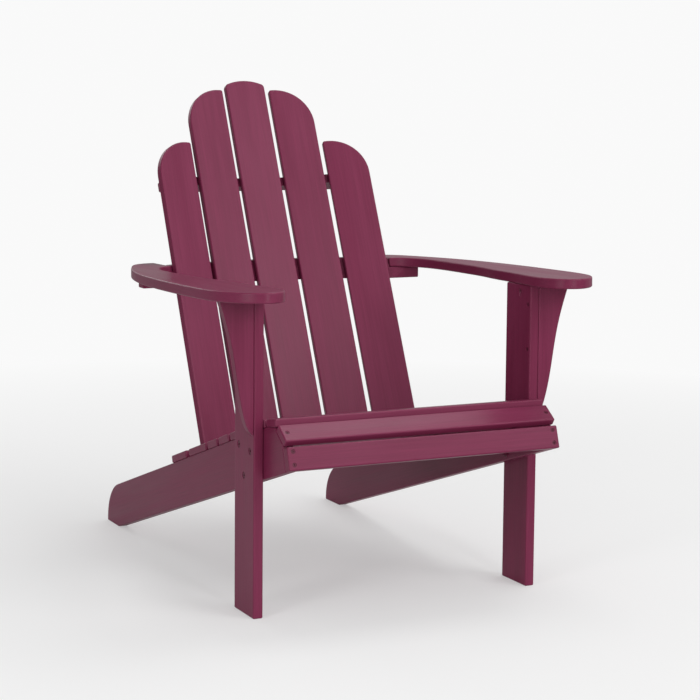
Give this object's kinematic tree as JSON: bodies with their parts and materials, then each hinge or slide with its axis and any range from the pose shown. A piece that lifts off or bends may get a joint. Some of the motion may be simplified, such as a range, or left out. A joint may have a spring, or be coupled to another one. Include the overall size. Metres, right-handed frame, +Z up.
{
  "type": "adirondack chair",
  "caption": "Low slatted garden armchair with a dished, leaning back of round-topped slats, broad flat arms and sloping side rails.",
  "frame": {"origin": "on the ground, under the middle of the chair's bounding box", "axes": "+Z up, the chair faces -Y, +X is towards the right of someone looking at its front, and left and right in names are meant that way"},
  "size_m": [0.7366, 0.9097, 0.9059],
  "materials": {
    "painted_wood": "satin paint, dusty crimson",
    "painted_steel": "satin paint over steel screws and bolts"
  },
  "bodies": {
    "root": {"apron_screws": "painted_steel", "arm_bracket_left": "painted_wood", "arm_bracket_right": "painted_wood", "arm_left": "painted_wood", "arm_pocket_screws": "painted_steel", "arm_rail_screws": "painted_steel", "arm_right": "painted_wood", "arm_support_rail": "painted_wood", "back_slat_1": "painted_wood", "back_slat_2": "painted_wood", "back_slat_3": "painted_wood", "back_slat_4": "painted_wood", "back_slat_5": "painted_wood", "bracket_screws": "painted_steel", "front_apron": "painted_wood", "front_leg_left": "painted_wood", "front_leg_right": "painted_wood", "front_slat": "painted_wood", "leg_bolt_nuts": "painted_steel", "leg_bolt_washers": "painted_steel", "leg_bolts": "painted_steel", "lower_back_rail": "painted_wood", "lower_rail_screws": "painted_steel", "middle_back_rail": "painted_wood", "middle_rail_screws": "painted_steel", "rear_board_screws": "painted_steel", "rear_seat_board": "painted_wood", "seat_slat_1": "painted_wood", "seat_slat_2": "painted_wood", "seat_slat_3": "painted_wood", "seat_slat_4": "painted_wood", "seat_slat_5": "painted_wood", "seat_slat_6": "painted_wood", "seat_slat_screws": "painted_steel", "side_rail_left": "painted_wood", "side_rail_right": "painted_wood", "support_rail_screws": "painted_steel", "upper_back_rail": "painted_wood", "upper_rail_screws": "painted_steel"}
  },
  "joints": []
}
